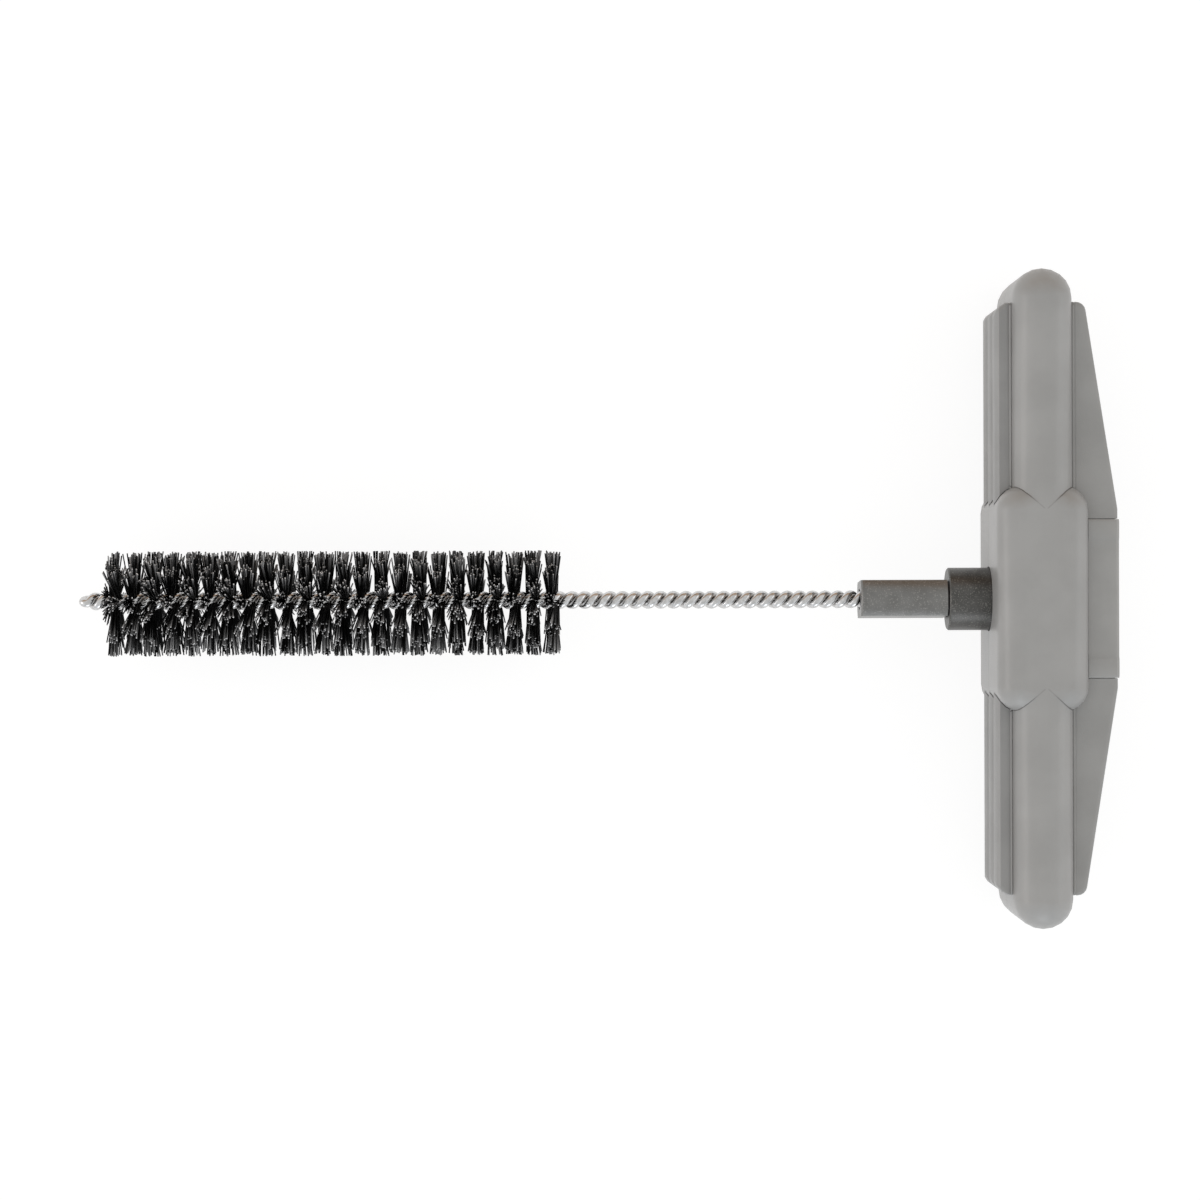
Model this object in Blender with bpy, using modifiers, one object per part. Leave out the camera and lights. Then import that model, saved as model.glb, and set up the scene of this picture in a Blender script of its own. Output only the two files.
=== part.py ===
"""Borehole cleaning brush with a moulded T handle, in metres with +Z up.

The brush lies on its back. The stem runs along X with the bristles towards -X, the handle runs along Y,
and the origin is the centre of the handle hub's back face, which the brush rests on.
Each piece is made about the stem's axis, and one empty lifts them all so that the back face lies at Z = 0.
"""

import math

import bmesh
import bpy
import numpy as np
from mathutils import Matrix, Vector

MM = 0.001

# Clearances and the overrun of every cut
NEIGHBOUR_GAP = 0.3 * MM
SEAT_GAP = 0.1 * MM
COLLAR_FIT_GAP = 0.2 * MM
CUT_OVERRUN = 3.0 * MM

# Handle spine, a bar with fully rounded edges
SPINE_LENGTH = 109.0 * MM
SPINE_WIDTH = 9.9 * MM
SPINE_DEPTH = 28.7 * MM
SHELL_WALL = 2.0 * MM

# Hub, the block in the middle of the spine
HUB_LENGTH = 37.1 * MM
HUB_DEPTH = 28.9 * MM
HUB_BRUSH_REACH = 7.7 * MM
HUB_PALM_REACH = 7.4 * MM
HUB_EDGE_RADIUS = 4.0 * MM

# Posts that locate one half shell in the other
POST_PLACE = 34.0 * MM
POST_RADIUS = 2.3 * MM
PIN_RADIUS = 1.2 * MM
PIN_LENGTH = 3.5 * MM

# Grip pieces on both sides of the spine
GRIP_LENGTH = 98.0 * MM
GRIP_EDGE_RADIUS = 0.5 * MM
TONGUE_PLACES = (26.0 * MM, 42.0 * MM)
TONGUE_WIDTH = 3.0 * MM
TONGUE_HEAD_WIDTH = 4.4 * MM
TONGUE_HEAD_THICKNESS = 1.0 * MM
TONGUE_ROOT_DEPTH = 1.2 * MM

# Ribbed finger pads on the brush side
PAD_THICKNESS = 2.6 * MM
PAD_RIB_COUNT = 3
PAD_RIB_RISE = 0.64 * MM

# Palm rest on the other side
PALM_REACH = 12.5 * MM
PALM_FLAT_LENGTH = 29.6 * MM
PALM_END_THICKNESS = 2.3 * MM
PALM_CORNER_RADIUS = 1.6 * MM

# Clip that holds the middle of the palm rest
CLIP_LENGTH = 26.2 * MM
CLIP_RIM_LENGTH = 3.5 * MM
CLIP_THICKNESS = 1.2 * MM
CLIP_PALM_RISE = 0.25 * MM
CLIP_RIM_RISE = 0.25 * MM
CLIP_RIM_SLOPE = 0.45 * MM
CLIP_LIP_REACH = 0.8 * MM
CLIP_LIP_LENGTH = 1.0 * MM

# Threaded insert held in the hub
INSERT_LENGTH = 8.0 * MM
INSERT_FLATS = 10.0 * MM
INSERT_FLANGE_RADIUS = 6.0 * MM
INSERT_FLANGE_THICKNESS = 1.5 * MM

# Collar between the hub and the socket
COLLAR_RADIUS = 5.25 * MM
COLLAR_SHOWN_LENGTH = 7.0 * MM
COLLAR_SEAT_DEPTH = 4.0 * MM
COLLAR_CHAMFER = 0.2 * MM

# Steel socket that holds the wire, with its two spanner flats and its stud
SOCKET_LENGTH = 14.4 * MM
SOCKET_RADIUS = 4.7 * MM
SOCKET_FLATS = 6.0 * MM
SOCKET_CHAMFER = 0.25 * MM
SOCKET_REST_ANGLE = math.radians(-3.5)
STUD_RADIUS = 2.7 * MM
STUD_ENGAGEMENT = 7.0 * MM
WIRE_SEAT_DEPTH = 10.0 * MM

# Twisted wire stem, one wire folded at its tip and twisted left-handed round itself
WIRE_RADIUS = 0.56 * MM
STRAND_OFFSET = 0.95 * MM
WIRE_LEAD = 4.25 * MM
TIP_LEAD = 3.8 * MM
TIP_TWIST_LENGTH = 6.4 * MM
BARE_LENGTH = 50.0 * MM
TIP_LENGTH = 4.6 * MM
FIRST_BUNCH_ANGLE = math.radians(-75.0)
TWIST_START_LENGTH = 0.3 * MM
TWIST_END_LENGTH = 2.0 * MM

# Bristle fill, a comb that follows the twist between the strands and bristles in evenly spaced bunches
BUNCH_COUNT = 24
BUNCH_HALF_WIDTH = 1.25 * MM
BRISTLE_REACH = 8.85 * MM
BRISTLE_THICKNESS = 0.3 * MM
BRISTLE_TRIM = 0.25 * MM
ROOT_MARGIN = 0.25 * MM
NECK_REACH = 0.35 * MM
SLOTS_PER_BUNCH = 12
BRISTLES_PER_BUNCH_SIDE = 8

# Counts of facets
ROUND_SEGMENTS = 28
SPHERE_SEGMENTS = 20
SPHERE_RINGS = 10
WIRE_POINTS_PER_TURN = 8
FOLD_POINTS = 5
ARC_POINTS = 5
STATIONS_PER_TURN = 200

# The space from one bunch to the next as a share of the wire's lead
BUNCH_LEAD_SHARE = 3 / 4
# The length of a bristle's root as a share of its slot
BRISTLE_ROOT_SHARE = 0.62
# A spread that never repeats, used to vary the bristles by place
GOLDEN_SHARE = (math.sqrt(5) - 1) / 2

# Places worked out from the sizes above
SPINE_RADIUS = SPINE_WIDTH / 2
GRIP_DEPTH = SPINE_DEPTH - SPINE_WIDTH
HUB_BRUSH_FACE = -HUB_BRUSH_REACH
COLLAR_FRONT = HUB_BRUSH_FACE - COLLAR_SHOWN_LENGTH
COLLAR_BACK = HUB_BRUSH_FACE + COLLAR_SEAT_DEPTH
INSERT_FRONT = COLLAR_BACK + NEIGHBOUR_GAP
SOCKET_BACK = COLLAR_FRONT - NEIGHBOUR_GAP
SOCKET_FRONT = SOCKET_BACK - SOCKET_LENGTH
STUD_END = INSERT_FRONT + STUD_ENGAGEMENT
BORE_RADIUS = STUD_RADIUS + NEIGHBOUR_GAP
BRISTLES_START = SOCKET_FRONT - BARE_LENGTH
BUNCH_PITCH = WIRE_LEAD * BUNCH_LEAD_SHARE
BRISTLES_END = BRISTLES_START - BUNCH_COUNT * BUNCH_PITCH
WIRE_BACK = SOCKET_FRONT + WIRE_SEAT_DEPTH
FOLD_START = BRISTLES_END - TIP_LENGTH + STRAND_OFFSET + WIRE_RADIUS
PALM_SEAT = SPINE_RADIUS + SEAT_GAP
CLIP_LEG_END = HUB_PALM_REACH + 2 * SEAT_GAP

PARTS = bpy.data.collections.new("borehole_cleaning_brush")
CUTTERS = bpy.data.collections.new("cutters")


def clear_scene():
    for item in list(bpy.data.objects):
        bpy.data.objects.remove(item, do_unlink=True)


def set_up_collections():
    bpy.context.scene.collection.children.link(PARTS)
    bpy.context.scene.collection.children.link(CUTTERS)
    CUTTERS.hide_render = True


def make_material(name, colour, roughness, metallic):
    material = bpy.data.materials.new(name)
    material.use_nodes = True
    shader = material.node_tree.nodes["Principled BSDF"]
    shader.inputs["Base Color"].default_value = (*colour, 1.0)
    shader.inputs["Roughness"].default_value = roughness
    shader.inputs["Metallic"].default_value = metallic
    return material


def link_part(item, axis, material):
    """Puts a finished piece in the parts collection, under the empty on the stem's axis."""
    PARTS.objects.link(item)
    item.parent = axis
    item.data.materials.clear()
    item.data.materials.append(material)
    return item


def link_cutter(item, axis):
    """Puts a helper shape in the cutters collection, under the same empty as the pieces that it shapes."""
    CUTTERS.objects.link(item)
    item.parent = axis
    item.hide_render = True
    item.display_type = "WIRE"
    return item


def object_from(name, mesh):
    """A new object that holds what a bmesh holds, with its normals facing out."""
    bmesh.ops.recalc_face_normals(mesh, faces=mesh.faces)
    data = bpy.data.meshes.new(name)
    mesh.to_mesh(data)
    mesh.free()
    return bpy.data.objects.new(name, data)


def box(name, low, high):
    """A box from its lowest to its highest corner."""
    mesh = bmesh.new()
    bmesh.ops.create_cube(mesh, size=1.0)
    low = Vector(low)
    high = Vector(high)
    middle = (low + high) / 2
    size = high - low
    bmesh.ops.transform(mesh, matrix=Matrix.LocRotScale(middle, None, size), verts=mesh.verts)
    return object_from(name, mesh)


def rounded_block(name, low, high, radius):
    """The hull of a sphere at each corner of a box, so every edge of the box is rounded by that radius."""
    mesh = bmesh.new()
    inset = Vector((radius, radius, radius))
    near = Vector(low) + inset
    far = Vector(high) - inset
    for x in sorted({near.x, far.x}):
        for y in sorted({near.y, far.y}):
            for z in sorted({near.z, far.z}):
                bmesh.ops.create_uvsphere(
                    mesh,
                    u_segments=SPHERE_SEGMENTS,
                    v_segments=SPHERE_RINGS,
                    radius=radius,
                    matrix=Matrix.Translation((x, y, z)),
                )
    bmesh.ops.remove_doubles(mesh, verts=mesh.verts, dist=SEAT_GAP * SEAT_GAP)
    hull = bmesh.ops.convex_hull(mesh, input=mesh.verts)
    unused = [item for item in hull["geom_interior"] if isinstance(item, bmesh.types.BMVert)]
    bmesh.ops.delete(mesh, geom=unused, context="VERTS")
    inner = [face for face in mesh.faces if face not in set(hull["geom"])]
    bmesh.ops.delete(mesh, geom=inner, context="FACES")
    loose = [vert for vert in mesh.verts if not vert.link_faces]
    bmesh.ops.delete(mesh, geom=loose, context="VERTS")
    return object_from(name, mesh)


def turned(name, profile, segments=ROUND_SEGMENTS):
    """A solid turned about the stem's axis from a closed profile of (place along X, radius) points."""
    mesh = bmesh.new()
    points = [mesh.verts.new((place, 0, radius)) for place, radius in profile]
    edges = [mesh.edges.new((a, b)) for a, b in zip(points, points[1:] + points[:1])]
    bmesh.ops.spin(
        mesh,
        geom=points + edges,
        cent=(0, 0, 0),
        axis=(1, 0, 0),
        angle=math.tau,
        steps=segments,
        use_merge=True,
    )
    bmesh.ops.remove_doubles(mesh, verts=mesh.verts, dist=SEAT_GAP * SEAT_GAP)
    on_axis = [edge for edge in mesh.edges if not edge.link_faces]
    bmesh.ops.delete(mesh, geom=on_axis, context="EDGES")
    return object_from(name, mesh)


def rod(name, start, end, radius, segments=ROUND_SEGMENTS):
    """A cylinder from one point to another."""
    mesh = bmesh.new()
    start = Vector(start)
    end = Vector(end)
    along = end - start
    turn = along.to_track_quat("Z", "X")
    bmesh.ops.create_cone(
        mesh,
        cap_ends=True,
        segments=segments,
        radius1=radius,
        radius2=radius,
        depth=along.length,
        matrix=Matrix.LocRotScale((start + end) / 2, turn, None),
    )
    return object_from(name, mesh)


def outline_solid(name, points, half_depth):
    """A flat outline in X and Y with the given half thickness along Z, as a mesh with its caps joined on."""
    curve = bpy.data.curves.new(name, "CURVE")
    curve.dimensions = "2D"
    curve.fill_mode = "BOTH"
    curve.extrude = half_depth
    spline = curve.splines.new("POLY")
    spline.points.add(len(points) - 1)
    for point, (x, y) in zip(spline.points, points):
        point.co = (x, y, 0, 1)
    spline.use_cyclic_u = True
    return mesh_of_curve(name, curve)


def mesh_of_curve(name, curve):
    """The mesh that a curve gives, with its caps joined to its sides."""
    guide = bpy.data.objects.new(name + "_guide", curve)
    CUTTERS.objects.link(guide)
    bpy.context.view_layer.update()
    evaluated = guide.evaluated_get(bpy.context.evaluated_depsgraph_get())
    data = bpy.data.meshes.new_from_object(evaluated)
    mesh = bmesh.new()
    mesh.from_mesh(data)
    bmesh.ops.remove_doubles(mesh, verts=mesh.verts, dist=SEAT_GAP * SEAT_GAP)
    bmesh.ops.dissolve_limit(mesh, angle_limit=math.radians(1), verts=mesh.verts, edges=mesh.edges)
    bpy.data.meshes.remove(data)
    bpy.data.objects.remove(guide, do_unlink=True)
    return object_from(name, mesh)


def arc(centre, radius, start, end):
    """Points along an arc about a centre, with angles in degrees from +X towards +Y."""
    angles = np.radians(np.linspace(start, end, ARC_POINTS))
    return [(centre[0] + radius * math.cos(a), centre[1] + radius * math.sin(a)) for a in angles]


def flipped(points):
    """The same points on the other side of the outline's middle line, in the opposite order."""
    return [(x, -y) for x, y in reversed(points)]


def mirrored(points):
    """A half outline with the same points on the other side added, in order round the whole."""
    return points + flipped(points)


def bevel(item, width):
    modifier = item.modifiers.new("rounded_edges", "BEVEL")
    modifier.width = width
    modifier.segments = 2
    modifier.limit_method = "ANGLE"
    modifier.angle_limit = math.radians(50)
    modifier.use_clamp_overlap = True


def combine(item, tool, operation):
    modifier = item.modifiers.new(tool.name, "BOOLEAN")
    modifier.operation = operation
    modifier.object = tool
    modifier.solver = "EXACT"


def cut(item, axis, *tools):
    for tool in tools:
        combine(item, link_cutter(tool, axis), "DIFFERENCE")


def add(item, axis, *tools):
    for tool in tools:
        combine(item, link_cutter(tool, axis), "UNION")


def shade(item):
    item.data.shade_smooth()
    item.data.set_sharp_from_angle(angle=math.radians(35))


def spine_form(name):
    low = (-SPINE_RADIUS, -SPINE_LENGTH / 2, -SPINE_DEPTH / 2)
    high = (SPINE_RADIUS, SPINE_LENGTH / 2, SPINE_DEPTH / 2)
    return rounded_block(name, low, high, SPINE_RADIUS)


def hub_form(name, growth=0):
    """The hub's outer form, or the same form grown on every side to seat a neighbour round it."""
    low = (-HUB_BRUSH_REACH - growth, -HUB_LENGTH / 2 - growth, -HUB_DEPTH / 2 - growth)
    high = (HUB_PALM_REACH + growth, HUB_LENGTH / 2 + growth, HUB_DEPTH / 2 + growth)
    return rounded_block(name, low, high, HUB_EDGE_RADIUS + growth)


def wing_cavity(name, side):
    """The hollow in one wing of the spine, from the hub's end to the wall at the spine's own end."""
    radius = SPINE_RADIUS - SHELL_WALL
    ends = sorted((side * HUB_LENGTH / 2, side * (SPINE_LENGTH / 2 - SHELL_WALL)))
    depth = SPINE_DEPTH / 2 - SHELL_WALL
    return rounded_block(name, (-radius, ends[0], -depth), (radius, ends[1], depth), radius)


def tongue(name, place, face, inward):
    """A neck through the spine's wall with a wider head inside, centred on the parting plane."""
    neck_end = face + inward * (SHELL_WALL + 2 * SEAT_GAP + TONGUE_HEAD_THICKNESS / 2)
    head_start = face + inward * (SHELL_WALL + 2 * SEAT_GAP)
    head_end = head_start + inward * TONGUE_HEAD_THICKNESS
    root = face - inward * TONGUE_ROOT_DEPTH
    xs = sorted((root, neck_end))
    half = TONGUE_WIDTH / 2
    neck = box(name + "_neck", (xs[0], place - half, -half), (xs[1], place + half, half))
    xs = sorted((head_start, head_end))
    half = TONGUE_HEAD_WIDTH / 2
    head = box(name + "_head", (xs[0], place - half, -half), (xs[1], place + half, half))
    return neck, head


def tongue_slot(name, place, side):
    """The opening in the spine's wall that a tongue's neck passes through."""
    half = TONGUE_WIDTH / 2 + SEAT_GAP
    xs = sorted((side * (SPINE_RADIUS - SHELL_WALL - SEAT_GAP), side * (SPINE_RADIUS + CUT_OVERRUN)))
    return box(name, (xs[0], place - half, -half), (xs[1], place + half, half))


def tongue_places():
    return [side * place for side in (1, -1) for place in TONGUE_PLACES]


def insert_pocket(name):
    """The stepped hollow in the hub for the collar, the insert's flange and, behind it, the stud's end."""
    collar_hole = COLLAR_RADIUS + COLLAR_FIT_GAP
    flange_hole = INSERT_FLANGE_RADIUS + NEIGHBOUR_GAP
    flange_back = INSERT_FRONT + INSERT_FLANGE_THICKNESS + NEIGHBOUR_GAP
    profile = [
        (HUB_BRUSH_FACE - CUT_OVERRUN, 0),
        (HUB_BRUSH_FACE - CUT_OVERRUN, collar_hole),
        (COLLAR_BACK, collar_hole),
        (COLLAR_BACK, flange_hole),
        (flange_back, flange_hole),
        (flange_back, 0),
    ]
    return turned(name, profile)


def hexagon_bar(name, start, end, flats):
    radius = flats / math.sqrt(3)
    return rod(name, (start, 0, 0), (end, 0, 0), radius, segments=6)


def make_half_shell(name, side, axis, material):
    """One half of the handle body. The front half has the locating pins, and the back half their holes."""
    half_shell = link_part(spine_form(name), axis, material)
    add(half_shell, axis, hub_form(name + "_hub"))
    reach = SPINE_LENGTH
    zs = sorted((side * SEAT_GAP / 2, -side * SPINE_DEPTH))
    cut(half_shell, axis, box(name + "_parting", (-reach, -reach, zs[0]), (reach, reach, zs[1])))
    hex_back = INSERT_FRONT + INSERT_LENGTH + NEIGHBOUR_GAP
    hex_flats = INSERT_FLATS + 2 * NEIGHBOUR_GAP
    cut(
        half_shell,
        axis,
        wing_cavity(name + "_cavity_upper", 1),
        wing_cavity(name + "_cavity_lower", -1),
        insert_pocket(name + "_pocket"),
        hexagon_bar(name + "_hexagon", INSERT_FRONT, hex_back, hex_flats),
    )
    for place in tongue_places():
        label = f"{name}_slot_{round(place / MM)}"
        cut(half_shell, axis, tongue_slot(label + "_pad", place, -1))
        cut(half_shell, axis, tongue_slot(label + "_palm", place, 1))
    top = side * (SPINE_DEPTH / 2 - SHELL_WALL / 2)
    for place in (POST_PLACE, -POST_PLACE):
        label = f"{name}_post_{round(place / MM)}"
        foot = (0, place, side * SEAT_GAP / 2)
        add(half_shell, axis, rod(label, foot, (0, place, top), POST_RADIUS))
        if side > 0:
            end = (0, place, -PIN_LENGTH)
            add(half_shell, axis, rod(label + "_pin", (0, place, PIN_LENGTH), end, PIN_RADIUS))
        else:
            end = (0, place, -PIN_LENGTH - NEIGHBOUR_GAP)
            start = (0, place, CUT_OVERRUN)
            cut(half_shell, axis, rod(label + "_hole", start, end, PIN_RADIUS + NEIGHBOUR_GAP))
    shade(half_shell)
    return half_shell


def rib_relief(name, outer):
    """What is cut off the pads' outside to leave rounded ribs along Y, side by side."""
    width = GRIP_DEPTH / PAD_RIB_COUNT
    radius = width * width / (8 * PAD_RIB_RISE) + PAD_RIB_RISE / 2
    half_angle = math.degrees(math.asin(width / 2 / radius))
    reach = GRIP_DEPTH / 2 + CUT_OVERRUN
    outline = [(outer - CUT_OVERRUN, -reach), (outer + PAD_RIB_RISE, -reach)]
    for rib in range(PAD_RIB_COUNT):
        middle = (rib + 1 / 2) * width - GRIP_DEPTH / 2
        outline += arc((outer + radius, middle), radius, 180 + half_angle, 180 - half_angle)
    outline += [(outer + PAD_RIB_RISE, reach), (outer - CUT_OVERRUN, reach)]
    relief = outline_solid(name, outline, GRIP_LENGTH / 2 + CUT_OVERRUN)
    relief.data.transform(Matrix.Rotation(math.radians(90), 4, "X"))
    return relief


def make_finger_pad(name, side, axis, material):
    """A ribbed pad on the brush side of one wing, shaped to the hub's end and keyed by two tongues."""
    inner = -SPINE_RADIUS - SEAT_GAP
    outer = inner - PAD_THICKNESS
    start = side * (HUB_LENGTH / 2 - HUB_EDGE_RADIUS)
    end = side * GRIP_LENGTH / 2
    corner = (inner, end - side * PAD_THICKNESS)
    outline = [(inner, start), (outer, start)]
    outline += arc(corner, PAD_THICKNESS, 180, 180 - side * 90)
    pad = link_part(outline_solid(name, outline, GRIP_DEPTH / 2), axis, material)
    bevel(pad, GRIP_EDGE_RADIUS)
    for number, place in enumerate(TONGUE_PLACES):
        add(pad, axis, *tongue(f"{name}_tongue_{number}", side * place, inner, 1))
    cut(pad, axis, rib_relief(name + "_rib_relief", outer))
    cut(pad, axis, hub_form(name + "_hub_seat", SEAT_GAP))
    shade(pad)
    return pad


def palm_outline():
    """Half of the palm rest's outline, on the +Y side: a flat middle, a slanted wing and a rounded end."""
    end = GRIP_LENGTH / 2
    tip = PALM_SEAT + PALM_END_THICKNESS
    corner = (tip - PALM_CORNER_RADIUS, end - PALM_CORNER_RADIUS)
    slant = math.degrees(math.atan2(PALM_REACH - tip, end - PALM_FLAT_LENGTH / 2))
    half = [(PALM_SEAT, end)]
    half += arc(corner, PALM_CORNER_RADIUS, 90, slant)
    half += [(PALM_REACH, PALM_FLAT_LENGTH / 2)]
    return half


def clip_seat(name, axis):
    """The space that the clip takes round the palm rest's middle: a block less its core."""
    half = CLIP_LENGTH / 2 + SEAT_GAP
    reach = GRIP_DEPTH
    core_x = PALM_REACH - CLIP_THICKNESS - SEAT_GAP
    core_z = GRIP_DEPTH / 2 - CLIP_THICKNESS - SEAT_GAP
    lip_x = CLIP_LEG_END + CLIP_LIP_LENGTH + SEAT_GAP
    lip_z = core_z - CLIP_LIP_REACH
    core_half = [(0, lip_z), (lip_x, lip_z), (lip_x, core_z), (core_x, core_z)]
    core = outline_solid(name + "_core", mirrored(core_half), CLIP_LENGTH)
    core.data.transform(Matrix.Rotation(math.radians(90), 4, "X"))
    seat = box(name, (PALM_SEAT - SEAT_GAP / 2, -half, -reach), (PALM_REACH + reach, half, reach))
    cut(seat, axis, core)
    return seat


def make_palm_rest(name, axis, material):
    """The palm rest along the whole handle, cut round the hub and recessed for its clip."""
    rest = link_part(outline_solid(name, mirrored(palm_outline()), GRIP_DEPTH / 2), axis, material)
    bevel(rest, GRIP_EDGE_RADIUS)
    cut(rest, axis, hub_form(name + "_hub_seat", SEAT_GAP))
    cut(rest, axis, clip_seat(name + "_clip_seat", axis))
    for number, place in enumerate(tongue_places()):
        add(rest, axis, *tongue(f"{name}_tongue_{number}", place, PALM_SEAT, -1))
    shade(rest)
    return rest


def clip_section(rise):
    """Outline of the clip's U in X and Z, where its legs stand so far proud of the palm rest."""
    outer_x = PALM_REACH + CLIP_PALM_RISE
    outer_z = GRIP_DEPTH / 2 + rise
    inner_x = PALM_REACH - CLIP_THICKNESS
    inner_z = GRIP_DEPTH / 2 - CLIP_THICKNESS
    lip_end = CLIP_LEG_END + CLIP_LIP_LENGTH
    lip_z = inner_z - CLIP_LIP_REACH
    outside = [
        (CLIP_LEG_END, lip_z),
        (CLIP_LEG_END, outer_z),
        (outer_x - GRIP_EDGE_RADIUS, outer_z),
        (outer_x, outer_z - GRIP_EDGE_RADIUS),
    ]
    inside = [(inner_x, inner_z), (lip_end, inner_z), (lip_end, lip_z)]
    return mirrored(outside) + flipped(inside) + inside


def make_palm_clip(name, axis, material):
    """The clip round the middle of the palm rest, with a sloped rim across its legs at each end."""
    half = CLIP_LENGTH / 2
    rim = [(half, 0), (half - CLIP_RIM_SLOPE, CLIP_RIM_RISE)]
    rim += [(half - CLIP_RIM_LENGTH + CLIP_RIM_SLOPE, CLIP_RIM_RISE), (half - CLIP_RIM_LENGTH, 0)]
    mesh = bmesh.new()
    rings = []
    for place, rise in rim + [(-place, rise) for place, rise in reversed(rim)]:
        rings.append([mesh.verts.new((x, place, z)) for x, z in clip_section(rise)])
    for near, far in zip(rings, rings[1:]):
        for low in range(len(near)):
            high = (low + 1) % len(near)
            mesh.faces.new((near[low], near[high], far[high], far[low]))
    mesh.faces.new(rings[0])
    mesh.faces.new(rings[-1][::-1])
    clip = link_part(object_from(name, mesh), axis, material)
    shade(clip)
    return clip


def make_insert(name, axis, material):
    """The hexagonal insert with a round flange towards the brush and a bore for the stud."""
    insert = hexagon_bar(name, INSERT_FRONT, INSERT_FRONT + INSERT_LENGTH, INSERT_FLATS)
    link_part(insert, axis, material)
    flange_back = INSERT_FRONT + INSERT_FLANGE_THICKNESS
    flange = rod(name + "_flange", (INSERT_FRONT, 0, 0), (flange_back, 0, 0), INSERT_FLANGE_RADIUS)
    add(insert, axis, flange)
    start = (INSERT_FRONT - CUT_OVERRUN, 0, 0)
    end = (INSERT_FRONT + INSERT_LENGTH + CUT_OVERRUN, 0, 0)
    cut(insert, axis, rod(name + "_bore", start, end, BORE_RADIUS))
    shade(insert)
    return insert


def make_collar(name, axis, material):
    """The steel collar that the socket's shoulder presses into the hub."""
    profile = [
        (COLLAR_FRONT, BORE_RADIUS),
        (COLLAR_FRONT, COLLAR_RADIUS - COLLAR_CHAMFER),
        (COLLAR_FRONT + COLLAR_CHAMFER, COLLAR_RADIUS),
        (COLLAR_BACK - COLLAR_CHAMFER, COLLAR_RADIUS),
        (COLLAR_BACK, COLLAR_RADIUS - COLLAR_CHAMFER),
        (COLLAR_BACK, BORE_RADIUS),
    ]
    collar = link_part(turned(name, profile), axis, material)
    shade(collar)
    return collar


def make_socket(name, axis, material):
    """The steel socket: a turned body with two milled flats, a bore for the wire and a stud."""
    profile = [
        (SOCKET_FRONT, 0),
        (SOCKET_FRONT, SOCKET_RADIUS - SOCKET_CHAMFER),
        (SOCKET_FRONT + SOCKET_CHAMFER, SOCKET_RADIUS),
        (SOCKET_BACK, SOCKET_RADIUS),
        (SOCKET_BACK, STUD_RADIUS),
        (STUD_END - COLLAR_CHAMFER, STUD_RADIUS),
        (STUD_END, STUD_RADIUS - COLLAR_CHAMFER),
        (STUD_END, 0),
    ]
    socket = link_part(turned(name, profile), axis, material)
    reach = SOCKET_RADIUS + CUT_OVERRUN
    for number, side in enumerate((1, -1)):
        ys = sorted((side * SOCKET_FLATS / 2, side * reach))
        low = (SOCKET_FRONT - CUT_OVERRUN, ys[0], -reach)
        high = (SOCKET_BACK + NEIGHBOUR_GAP / 2, ys[1], reach)
        flat = box(f"{name}_flat_{number}", low, high)
        flat.data.transform(Matrix.Rotation(SOCKET_REST_ANGLE, 4, "X"))
        cut(socket, axis, flat)
    wire_bore = STRAND_OFFSET + WIRE_RADIUS + NEIGHBOUR_GAP
    start = (SOCKET_FRONT - CUT_OVERRUN, 0, 0)
    end = (WIRE_BACK + NEIGHBOUR_GAP, 0, 0)
    cut(socket, axis, rod(name + "_wire_bore", start, end, wire_bore, 24))
    shade(socket)
    return socket


def smooth(value):
    """0 below 0, 1 above 1 and a smooth rise between them."""
    share = np.clip(value, 0, 1)
    return share * share * (3 - 2 * share)


def twist_rate(x):
    """Radians that the strands turn in a metre of stem. They run straight in the socket."""
    started = smooth((x - FOLD_START) / TWIST_START_LENGTH)
    past_tip = smooth((x - FOLD_START - TIP_TWIST_LENGTH) / TWIST_END_LENGTH)
    going_on = smooth((WIRE_BACK - 2 * WIRE_RADIUS - x) / TWIST_END_LENGTH)
    turns = (1 - past_tip) / TIP_LEAD + past_tip / WIRE_LEAD
    return -math.tau * turns * started * going_on


def twist_table():
    """Places along X from the fold to the wire's ends, and the strands' angle at each."""
    turns = (WIRE_BACK - FOLD_START) / WIRE_LEAD
    places = np.linspace(FOLD_START, WIRE_BACK, int(turns * STATIONS_PER_TURN))
    rates = twist_rate(places)
    steps = (rates[1:] + rates[:-1]) / 2 * np.diff(places)
    angles = np.concatenate([[0], np.cumsum(steps)])
    first_bunch = BRISTLES_START - BUNCH_PITCH / 2
    return places, angles - np.interp(first_bunch, places, angles) + FIRST_BUNCH_ANGLE


def twist_angle(x):
    """The first strand's direction from the stem's axis at places along X, from +Y towards +Z."""
    places, angles = twist_table()
    return np.interp(x, places, angles)


def strand_points(side):
    """Centre points of one strand from the socket to the fold."""
    places, _ = twist_table()
    weight = np.maximum(-twist_rate(places), math.tau / WIRE_LEAD / 2)
    steps = (weight[1:] + weight[:-1]) / 2 * np.diff(places)
    measure = np.concatenate([[0], np.cumsum(steps)])
    count = int(measure[-1] / math.tau * WIRE_POINTS_PER_TURN)
    xs = np.interp(np.linspace(measure[-1], 0, count), measure, places)
    angles = twist_angle(xs)
    offset = side * STRAND_OFFSET
    return np.column_stack([xs, offset * np.cos(angles), offset * np.sin(angles)])


def fold_points():
    """The half circle that turns one strand into the other at the tip, without its two ends."""
    turns = np.linspace(0, math.pi, FOLD_POINTS + 2)[1:-1]
    across = STRAND_OFFSET * np.cos(turns)
    xs = FOLD_START - STRAND_OFFSET * np.sin(turns)
    angle = twist_angle(FOLD_START)
    return np.column_stack([xs, across * np.cos(angle), across * np.sin(angle)])


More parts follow.
